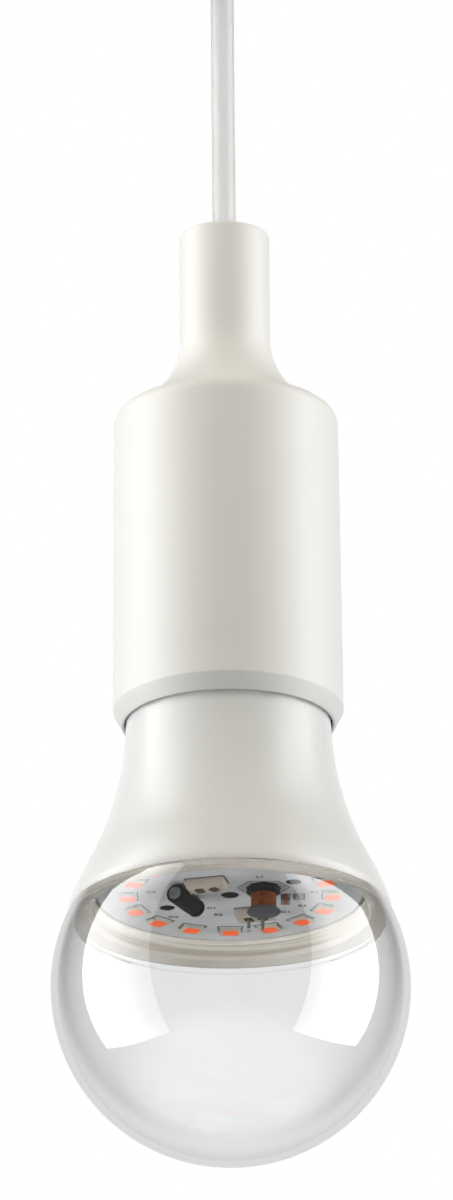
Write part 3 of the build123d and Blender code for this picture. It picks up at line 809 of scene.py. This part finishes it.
def ledSolder(s):
    shape = bmesh.new()
    for side in (-1, 1):
        x = side * (s["length"] / 2 + 0.14)
        pile(shape, [(0.52, 1.9, 0.14, 0.0, 3, x), (0.4, 1.8, 0.14, -0.1, 3, x - side * 0.03),
                     (0.18, 1.6, 0.08, -0.26, 3, x - side * 0.12)])
    return shape


def ledPrint(s):
    shape = bmesh.new()
    w, t = s["printHalf"], s["printLine"]
    near = -s["width"] / 2 - s["printGap"]
    tip = near + s["printLeg"]
    half = [(w, near), (w, tip), (w - t, tip), (w - t, near + t)]
    outline = half + [(-x, y) for x, y in half[::-1]]
    loft(shape, [[(x, y, z) for x, y in outline] for z in (0.0, -inkThick)])
    return shape


def makeLedRing(s):
    made = {}
    for name, shape, finish in (
        ("led_bodies", ledBody(s), finishes["led_cream"]),
        ("led_phosphors", ledGlow(s), phosphorOrange),
        ("led_solder", ledSolder(s), finishes["lead_tin"]),
        ("led_prints", ledPrint(s), printGrey),
    ):
        part = asPiece(name + "_one", shape, finish)
        made[name] = growPiece(name, ringTree, {
            "Part": part, "Count": s["count"], "Ring Radius": s["ringR"] * mm, "Height": boardZ * mm,
            "Finish": finish,
        }, spare=part)
    return made


ledRing = makeLedRing(ledSet)
settle(ledRing["led_bodies"], "led_cream", *["led_%02d" % n for n in range(1, ledSet["count"] + 1)])
settle(ledRing["led_phosphors"], "led_cream")
settle(ledRing["led_solder"], "lead_tin")
settle(ledRing["led_prints"], "chip_black")
print("LED ring grown")

# drum inductor: two flanges, a post and the copper wound between them
coilSet = {"x": 5.6, "y": -3.6, "flangeR": 2.85, "flange": 0.6, "base": 1.3, "postR": 1.3, "height": 4.6,
           "wireR": 0.09, "coilR": 2.06, "turns": 15.0, "press": 0.985, "wobble": 0.07}


def softOctagon(radius, z, x, y, blend=0.45, count=64):
    points = []
    for k in range(count):
        a = 2 * math.pi * k / count
        flat = math.cos(math.pi / 8) / math.cos((a % (math.pi / 4)) - math.pi / 8)
        r = radius * (1 - blend + blend * flat)
        points.append((x + r * math.cos(a), y + r * math.sin(a), z))
    return points


def makeCoil(s):
    shape = bmesh.new()
    r, x, y = s["flangeR"], s["x"], s["y"]
    low, high = boardZ - s["height"], boardZ
    under = high - s["base"]
    steps = [(r - 0.22, low), (r - 0.04, low + 0.1), (r, low + 0.2), (r, low + 0.45),
             (r - 0.1, low + s["flange"]), (s["postR"], low + s["flange"]), (s["postR"], under + 0.1)]
    loft(shape, [softOctagon(radius, z, x, y) for radius, z in steps])
    drum = asPiece("inductor_drum", shape, flangeGrey, 30.0)
    shape = bmesh.new()
    steps = [(r - 0.5, under - 0.02), (r - 0.25, under + 0.05), (r, under + 0.3), (r - 0.06, under + 0.7),
             (r + 0.04, high - 0.3), (r, high)]
    rough = []
    for radius, z in steps:
        rough.append([(px + s["wobble"] * math.sin(7 * k + 40 * radius), py, pz)
                      for k, (px, py, pz) in enumerate(softOctagon(radius, z, x, y, 0.8, 48))])
    loft(shape, rough)
    foot = asPiece("inductor_foot", shape, finishes["ferrite_black"], 30.0)
    winding = growPiece("inductor_wire", coilTree, {
        "Turns": s["turns"], "Coil Radius": s["coilR"] * mm, "Wire Radius": s["wireR"] * mm,
        "Coil Height": s["turns"] * 2 * s["wireR"] * mm * s["press"],
        "Place": (x * mm, y * mm, (low + s["flange"] + s["wireR"]) * mm),
        "Finish": finishes["winding_copper"],
    })
    return drum, foot, winding


coilDrum, coilFoot, coilWire = makeCoil(coilSet)
settle(coilDrum, "ferrite_black", "inductor_core")
settle(coilFoot, "ferrite_black")
settle(coilWire, "winding_copper", "inductor_winding")
print("inductor wound")

# can capacitor on its side: shrunk sleeve, rolled neck, bare end and bung
canSet = {"x": -7.4, "y": -2.1, "turn": 65.0, "radius": 1.6, "length": 8.6, "clear": 0.1, "sleeve": 0.12}


def makeCan(s):
    place = shift(s["x"], s["y"], boardZ - s["radius"] - s["clear"])
    place = place @ turned(s["turn"], "Z") @ turned(90, "Y")
    half, r, bare = s["length"] / 2, s["radius"], s["radius"] - s["sleeve"]
    sleeve = softLoop([
        (r - 0.5, -half, 0.08), (r - 0.25, -half, 0.2), (r, -half + 0.3, 0.25), (r, half - 1.7, 0.2),
        (r - 0.28, half - 1.3, 0.25), (r - 0.04, half - 0.95, 0.25), (r - 0.04, half - 0.12, 0.12),
        (r - 0.4, half - 0.02, 0.1), (r - 0.4, half - 0.3), (bare - 0.4, half - 0.6),
        (bare - 0.4, -half + 0.3), (r - 0.5, -half + 0.12),
    ], 5)
    end = softLoop([(0.0, -half + 0.16), (0.5, -half + 0.12, 0.3), (r - 0.46, -half + 0.02, 0.12),
                    (r - 0.46, -half + 0.4), (0.0, -half + 0.4)])
    bung = softLoop([(0.0, half - 0.5), (r - 0.4, half - 0.5), (r - 0.4, half - 0.02, 0.2),
                     (0.0, half - 0.02)])
    return (turnedPiece("capacitor_sleeve", sleeve, finishes["can_black"], 64, place),
            turnedPiece("capacitor_end", end, canBare, 48, place),
            turnedPiece("capacitor_bung", bung, rubberGrey, 48, place))


canSleeve, canEnd, canBung = makeCan(canSet)
settle(canSleeve, "can_black", "capacitor")
settle(canEnd, "lead_tin")
settle(canBung, "chip_black")
print("capacitor turned")

# poke-in connectors: ivory blocks with two funnel ports each
connectorSet = {"length": 6.4, "width": 3.5, "height": 1.6, "turn": -14.0, "pitch": 2.4, "port": (1.3, 1.5),
                "deep": 1.0, "spots": ((-3.85, -6.95), (4.3, 7.4)), "print": 0.24, "printLap": 0.2,
                "tabR": 0.5, "funnel": (0.82, 0.8), "bevel": 0.12, "crispAngle": 0.6}


def makeConnector(s, number, spot):
    shape = bmesh.new()
    half, side = s["length"] / 2, s["width"] / 2
    narrow, short = s["funnel"]
    xs = [-half]
    for port in (-1, 1):
        xs += [port * s["pitch"] / 2 - s["port"][0] / 2, port * s["pitch"] / 2 + s["port"][0] / 2]
    xs += [half]
    ys = [-side, -s["port"][1] / 2, s["port"][1] / 2, side]
    grid = [[shape.verts.new((x * mm, y * mm, -s["height"] * mm)) for y in ys] for x in xs]
    top = {(i, j): shape.verts.new((xs[i] * mm, ys[j] * mm, 0)) for i in range(6) for j in range(4)
           if i in (0, 5) or j in (0, 3)}
    for i in range(5):
        for j in range(3):
            corners = [grid[i][j], grid[i + 1][j], grid[i + 1][j + 1], grid[i][j + 1]]
            if j == 1 and i in (1, 3):  # a port sinks here
                middle = (xs[i] + xs[i + 1]) / 2 * mm
                deep = [shape.verts.new((v.co.x * narrow + middle * (1 - narrow), v.co.y * short,
                                         (s["deep"] - s["height"]) * mm)) for v in corners]
                for k in range(4):
                    shape.faces.new((corners[k], corners[(k + 1) % 4], deep[(k + 1) % 4], deep[k]))
                shape.faces.new(deep)
            else:
                shape.faces.new(corners)
    around = [(i, 0) for i in range(6)] + [(5, j) for j in range(1, 4)]
    around += [(i, 3) for i in range(4, -1, -1)] + [(0, j) for j in (2, 1)]
    for a, b in zip(around, around[1:] + around[:1]):
        shape.faces.new((grid[a[0]][a[1]], grid[b[0]][b[1]], top[b], top[a]))
    shape.faces.new([top[a] for a in around])
    bmesh.ops.recalc_face_normals(shape, faces=shape.faces[:])
    crisp = [e for e in shape.edges if e.is_manifold and e.calc_face_angle() > s["crispAngle"]]
    bmesh.ops.bevel(shape, geom=crisp, offset=s["bevel"] * mm, segments=2, affect="EDGES", profile=0.5)
    place = shift(*spot, boardZ) @ turned(s["turn"], "Z")
    ports, tab, line = bmesh.new(), bmesh.new(), bmesh.new()
    for port in (-1, 1):  # dark pieces with ragged edges set in the ports: painted shade
        x, (w, d) = port * s["pitch"] / 2, s["port"]
        for grow, low, high in ((0.97, 0.05, 0.9), (1.35, -0.02, 0.05)):
            ragged = [(1 + 0.14 * math.sin(5 * k + 2 * port) * (grow > 1)) * grow / 2 for k in range(20)]
            angles = [2 * math.pi * k / 20 for k in range(20)]
            loft(ports, [[(x + w * r * math.cos(a), 0.25 * (grow > 1) + d * r * math.sin(a), z - s["height"])
                          for r, a in zip(ragged, angles)] for z in (low, high)])
    spin(tab, arc((0.0, 0.0), s["tabR"], 0, -90, 8) + [(0.0, 0.0)], 20)
    bmesh.ops.translate(tab, verts=tab.verts[:], vec=Vector((-half - s["tabR"] * 0.6, 0, 0)) * mm)
    # a dark frame laid on the board around the block's foot: painted contact shade where the block meets the
    # board
    g, lap = 2 * s["print"], s["printLap"]
    pile(line, [(s["length"] + grow, s["width"] + grow, 0.2, z, 3)
                for grow, z in ((g, 0.0), (g, -inkThick), (-lap, -inkThick), (-lap, 0.0))], True)
    tail = "_%d" % number
    return (asPiece("connector" + tail, shape, connectorIvory, 30.0, place),
            asPiece("connector_ports" + tail, ports, portBrown, 30.0, place),
            asPiece("connector_tab" + tail, tab, padCream, 60.0, place),
            asPiece("connector_print" + tail, line, printGrey, 30.0, place))


for number, spot in enumerate(connectorSet["spots"], 1):
    connector, ports, tab, line = makeConnector(connectorSet, number, spot)
    settle(connector, "block_ivory", "wire_connector_%d" % number)
    settle(ports, "chip_brown")
    settle(tab, "lead_tin")
    settle(line, "chip_black")
print("connectors made")

# small chips: a brown capacitor with tinned ends, a black driver with gull legs
chipSet = {"size": (1.6, 2.4, 1.2), "spot": (9.3, 0.6), "end": 0.42, "driver": (3.0, 1.7, 1.1),
           "pale": (2.0, 1.5, 0.7), "paleSpot": (11.6, 0.1),
           "driverY": midOf("driver_chip", 1), "legPitch": 0.95}


def makeChip(name, size, spot, end, finish):
    w, d, h = size
    place = shift(*spot, boardZ)
    body, ends = bmesh.new(), bmesh.new()
    pile(body, [(w - 2 * end, d - 0.06, 0.05, z) for z in (-0.03, -h + 0.03)])
    for side in (-1, 1):
        x = side * (w - end) / 2
        pile(ends, [(end - 0.08, d - 0.1, 0.1, 0.0, 3, x), (end, d, 0.12, -0.08, 3, x),
                    (end, d, 0.12, -h + 0.08, 3, x), (end - 0.08, d - 0.1, 0.1, -h, 3, x)])
    return (asPiece(name + "_body", body, finish, 30.0, place),
            asPiece(name + "_ends", ends, finishes["lead_tin"], 30.0, place))


def makeDriver(s):
    w, d, h = s["driver"]
    place = shift(0, s["driverY"], boardZ)
    body, legs = bmesh.new(), bmesh.new()
    pile(body, [(w - 0.15, d - 0.15, 0.06, -0.1), (w, d, 0.06, -h / 2), (w - 0.15, d - 0.15, 0.06, -h)])
    for side in (-1, 1):
        for k in (-1, 0, 1):
            x, y = k * s["legPitch"], side * (d / 2 + 0.2)
            pile(legs, [(0.4, 0.5, 0.05, z, 2, x, y + side * 0.05) for z in (0.0, -0.14)])
            pile(legs, [(0.4, 0.14, 0.04, z, 2, x, y - side * 0.12) for z in (-0.1, -h / 2 - 0.07)])
    driver = asPiece("driver_body", body, finishes["chip_black"], 30.0, place)
    driverLegs = asPiece("driver_legs", legs, finishes["lead_tin"], 30.0, place)
    return driver, driverLegs


chip, chipEnds = makeChip("chip", chipSet["size"], chipSet["spot"], chipSet["end"], finishes["chip_brown"])
paleChip, paleEnds = makeChip("pale_chip", chipSet["pale"], chipSet["paleSpot"], chipSet["end"], padCream)
driver, driverLegs = makeDriver(chipSet)
settle(chip, "chip_brown", "chip_capacitor")
settle(chipEnds, "lead_tin")
settle(paleChip, "block_ivory")
settle(paleEnds, "lead_tin")
settle(driver, "chip_black", "driver_chip")
settle(driverLegs, "lead_tin")
print("chips made")

# prints on the board: outlined pad under the inductor, component marks
printSet = {"pad": ((4.5, 0.0), (2.5, 3.1)), "line": 0.2, "inset": 0.35, "thick": inkThick,
            "markSize": 1.35, "markGrow": 0.04,
            "marks": (("C1", -3.1, 6.2), ("R2", -2.0, 9.6), ("D1", 9.4, 8.4), ("R1", 14.2, -1.2),
                      ("R3", 12.2, 5.4), ("C2", -13.2, -1.8), ("L1", 5.0, -8.6), ("D2", -9.6, 10.4))}


def padLoop(s, grow, z):
    (ax, ay), (bx, by) = s["pad"]
    points = [(ax + grow, ay), (bx + grow * 0.7, by + grow), (-bx - grow * 0.7, by + grow), (-ax - grow, ay),
              (-bx - grow * 0.7, -by - grow), (bx + grow * 0.7, -by - grow)]
    return [(coilSet["x"] + x, coilSet["y"] + y, boardZ + z) for x, y in points]


def makePrints(s):
    pad, line = bmesh.new(), bmesh.new()
    loft(pad, [padLoop(s, -s["inset"], z) for z in (0.0, -s["thick"])])
    loft(line, [padLoop(s, grow, z) for grow, z in (
        (0.0, 0.0), (0.0, -s["thick"]), (-s["line"], -s["thick"]), (-s["line"], 0.0))], True)
    made = [asPiece("pad_face", pad, padCream), asPiece("pad_line", line, printGrey)]
    for word, x, y in s["marks"]:
        letters = bpy.data.curves.new("mark_" + word, "FONT")
        letters.body = word
        letters.size = s["markSize"] * mm
        letters.extrude = s["thick"] * mm / 2
        letters.offset = s["markGrow"] * mm
        letters.align_x = letters.align_y = "CENTER"
        mesh = bakedMesh(addObject("mark_" + word + "_text", letters))
        mesh.transform(shift(x, y, boardZ - s["thick"] / 2) @ turned(180, "X"))
        mesh.materials.clear()
        mesh.materials.append(printGrey)
        made.append(addObject("mark_" + word, mesh))
    return made


for printed in makePrints(printSet):
    settle(printed, "block_ivory" if printed.name == "pad_face" else "chip_black")
print("board printed")

# black plugs in the three holes: painted shade
holeSet = {"holes": ((0.0, 0.0, 1.55), (10.6, -6.0, 1.35), (-10.6, 6.0, 1.35)), "from": 0.12, "to": 0.9}


def makeHoles(s):
    shape = bmesh.new()
    for x, y, r in s["holes"]:
        before = set(shape.verts)
        low, high = boardZ + s["from"], boardZ + s["to"]
        # a black plug inside each hole as painted shade
        spin(shape, [(0.0, low + 0.1), (r - 0.02, low), (r - 0.02, high), (0.0, high)], 48)
        moved = [v for v in shape.verts if v not in before]
        bmesh.ops.translate(shape, verts=moved, vec=Vector((x, y, 0)) * mm)
    return asPiece("board_hole_throats", shape, holeBlack)


settle(makeHoles(holeSet), "chip_black")
print("holes darkened")

# a pale cap on the end of the left lead: a painted highlight
tipSet = {"radius": 0.32, "length": 0.45}


def makeTip(s, connector):
    low, turn, reach = lowOf("lead_live"), math.radians(connector["turn"]), connector["pitch"] / 2
    x, y = connector["spots"][1]
    loop = softLoop([(0.0, low), (s["radius"], low, 0.1), (s["radius"], low + s["length"]),
                     (0.0, low + s["length"])])
    place = shift(x - reach * math.cos(turn), y - reach * math.sin(turn), 0)
    return turnedPiece("lead_tip", loop, finishes["insert_ceramic"], 24, place)


settle(makeTip(tipSet, connectorSet), "lead_tin")
print("lead tip made")

# studio: pale floor well below, white backdrop, a tall soft lamp on each side
floorSet = {"z": -1.2, "half": 0.75, "tone": 0.82}
lampSet = {
    "front": (0.560, -0.450), "back": (1.434, 0.439), "shineAhead": 0.01,
    "sides": {"softLeft": (-1, 25.6, -0.79, 1.2, 0.4, 0.3), "softRight": (1, 18.8, -0.78, 0.85, 0.2, 0.4)},
    "fillPlace": (0.0, -0.45, 0.36), "fillAim": (0.0, 0.45, -0.46), "fillSize": (0.6, 0.4), "fillWatts": 1.45,
    "fillTone": (1.0, 0.92, 0.64),
}
worldSet = {
    "ambient": (1.0, 0.985, 0.95), "ambientLevel": 0.025, "ambientRise": 0.01, "ambientLeast": 0.005,
    "front": 0.1, "back": 0.75, "backFrom": 0.62, "backTo": 0.85, "inside": 0.4, "insidePasses": 2.5,
    "below": 1.0, "belowFrom": -0.40, "belowTo": -0.80,
}


def makeFloor(s):
    mesh = bpy.data.meshes.new("floor")
    h = s["half"]
    mesh.from_pydata([(x, y, s["z"]) for x, y in ((-h, -h), (h, -h), (h, h), (-h, h))], [], [(0, 1, 2, 3)])
    floor = addObject("floor", mesh)
    paint = bpy.data.materials.new("floorPaint")
    paint.use_nodes = True
    tree = paint.node_tree
    shader = tree.nodes["Principled BSDF"]
    setInputs(shader, {"Base Color": (s["tone"], s["tone"], s["tone"], 1), "Roughness": 0.9})
    glow = addNode(tree, "Emission")
    path = addNode(tree, "LightPath")
    pick = addNode(tree, "MixShader")
    side = addNode(tree, "NewGeometry")
    clear = addNode(tree, "BsdfTransparent")
    oneWay = addNode(tree, "MixShader")  # seen through from below
    wire(tree, [
        (path, "Is Camera Ray", pick, "Fac"), (shader, "BSDF", pick, 1), (glow, "Emission", pick, 2),
        (side, "Backfacing", oneWay, "Fac"), (pick, "Shader", oneWay, 1), (clear, "BSDF", oneWay, 2),
        (oneWay, "Shader", tree.nodes["Material Output"], "Surface"),
    ])
    mesh.materials.append(paint)
    floor.visible_glossy = False  # the world stands in for it in reflections


def addLamp(name, size, watts, place, aim):
    data = bpy.data.lights.new(name, "AREA")
    data.shape = "RECTANGLE"
    data.size, data.size_y = size
    data.energy = watts
    lamp = addObject(name, data)
    lamp.location = place
    lamp.rotation_euler = Vector(aim).to_track_quat("-Z", "Y").to_euler()
    lamp.visible_camera = lamp.visible_transmission = False
    return lamp


def makeLamps(s):
    for name, (side, watts, low, high, fadeTo, fadeLevel) in s["sides"].items():
        near = Vector((side * s["front"][0], s["front"][1], (low + high) / 2))
        far = Vector((side * s["back"][0], s["back"][1], (low + high) / 2))
        aim = (far - near).cross(Vector((0, 0, -side)))
        size, middle = ((far - near).length, high - low), (near + far) / 2
        addLamp(name + "Light", size, watts, middle, aim).visible_glossy = False
        shine = addLamp(name + "Shine", size, watts, middle + aim * s["shineAhead"], aim)
        shine.visible_diffuse = False
        shine.data.use_nodes = True  # what the globe mirrors is paler towards the lamp's front edge
        tree = shine.data.node_tree
        place = addNode(tree, "NewGeometry")
        split = addNode(tree, "SeparateXYZ")
        fade = ramp(tree, 0.5 - side * 0.5, 0.5 + side * (fadeTo - 0.5), fadeLevel, smooth=True)
        wire(tree, [(place, "Parametric", split, "Vector"), (split, "X", fade, "Value"),
                    (fade, "Result", tree.nodes["Emission"], "Strength")])
    front = addLamp("softFront", s["fillSize"], s["fillWatts"], s["fillPlace"], s["fillAim"])
    front.data.color = s["fillTone"]
    front.visible_glossy = False


def makeWorld(s):
    world = bpy.data.worlds.new("studio")
    scene.world = world
    world.use_nodes = True
    tree = world.node_tree
    fill = tree.nodes["Background"]
    setInputs(fill, {"Color": (*s["ambient"], 1)})
    white = addNode(tree, "Background", {"Color": (1, 1, 1, 1)})
    room = addNode(tree, "Background", {"Color": (1, 1, 1, 1)})
    where = addNode(tree, "TexCoord")
    split = addNode(tree, "SeparateXYZ")
    path = addNode(tree, "LightPath")
    back = ramp(tree, s["backFrom"], s["backTo"], s["front"], s["back"], smooth=True)
    # mirrored inside the far wall
    within = addNode(tree, "Math", {1: s["insidePasses"]}, operation="GREATER_THAN")
    level = addNode(tree, "Mix", {"B": s["inside"]})
    # bright floor, as the globe's sharp mirror shows it
    under = ramp(tree, s["belowFrom"], s["belowTo"], smooth=True)
    sharp = addNode(tree, "Math", operation="MULTIPLY")
    pale = addNode(tree, "Mix", {"B": s["below"]})
    rise = ramp(tree, -1.0, 1.0, s["ambientLevel"] - s["ambientRise"], s["ambientLevel"] + s["ambientRise"])
    lit = addNode(tree, "Math", {1: s["ambientLeast"]}, operation="MAXIMUM")
    # straight through the glass, with no mirror on the way
    direct = addNode(tree, "Math", {1: 0.5}, operation="LESS_THAN")
    through = addNode(tree, "Math", operation="MULTIPLY")
    mirror = addNode(tree, "Math", operation="MAXIMUM")
    seen = addNode(tree, "Math", operation="MAXIMUM")
    mirrored = addNode(tree, "MixShader")
    shown = addNode(tree, "MixShader")
    wire(tree, [
        (where, "Generated", split, "Vector"), (split, "Y", back, "Value"),
        (path, "Transmission Depth", within, 0), (within, "Value", level, "Factor"),
        (back, "Result", level, "A"),
        (split, "Z", under, "Value"), (under, "Result", sharp, 0), (path, "Is Singular Ray", sharp, 1),
        (sharp, "Value", pale, "Factor"), (level, "Result", pale, "A"), (pale, "Result", room, "Strength"),
        (split, "Z", rise, "Value"), (rise, "Result", lit, 0), (lit, "Value", fill, "Strength"),
        (path, "Is Glossy Ray", mirror, 0), (path, "Is Transmission Ray", mirror, 1),
        (mirror, "Value", mirrored, "Fac"), (fill, "Background", mirrored, 1),
        (room, "Background", mirrored, 2),
        (path, "Glossy Depth", direct, 0), (path, "Is Transmission Ray", through, 0),
        (direct, "Value", through, 1), (path, "Is Camera Ray", seen, 0), (through, "Value", seen, 1),
        (seen, "Value", shown, "Fac"), (mirrored, "Shader", shown, 1), (white, "Background", shown, 2),
        (shown, "Shader", tree.nodes["World Output"], "Surface"),
    ])


makeFloor(floorSet)
makeLamps(lampSet)
makeWorld(worldSet)
print("studio lit")
